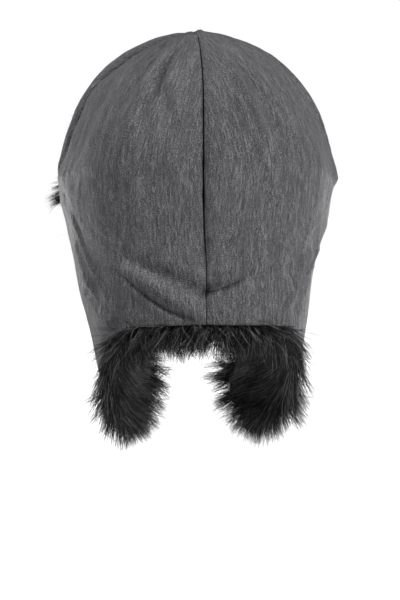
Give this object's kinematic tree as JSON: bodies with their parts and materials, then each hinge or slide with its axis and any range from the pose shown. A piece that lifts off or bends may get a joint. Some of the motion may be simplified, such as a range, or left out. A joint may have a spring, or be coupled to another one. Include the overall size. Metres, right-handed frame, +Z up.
{
  "type": "ushanka",
  "caption": "Trapper hat with a gored cloth crown, ear and neck flaps turned down over deep pile, and a pile-faced visor turned up.",
  "frame": {"origin": "the head seat: inside the crown's top, where the hat comes down on a head", "axes": "+Z up out of the crown, front towards -Y, wearer's left towards +X"},
  "size_m": [0.2406, 0.2565, 0.3496],
  "materials": {
    "nylon": "crinkled matte charcoal nylon",
    "faux_fur": "long black faux fur pile"
  },
  "bodies": {
    "root": {"crown_back_left": "nylon", "crown_back_right": "nylon", "crown_front_left": "nylon", "crown_front_right": "nylon", "crown_tip": "nylon", "curtain_left": "nylon", "curtain_right": "nylon", "fur_neck": "faux_fur", "fur_flap_left": "faux_fur", "fur_flap_right": "faux_fur", "visor": "nylon", "visor_fur": "faux_fur"}
  },
  "joints": []
}
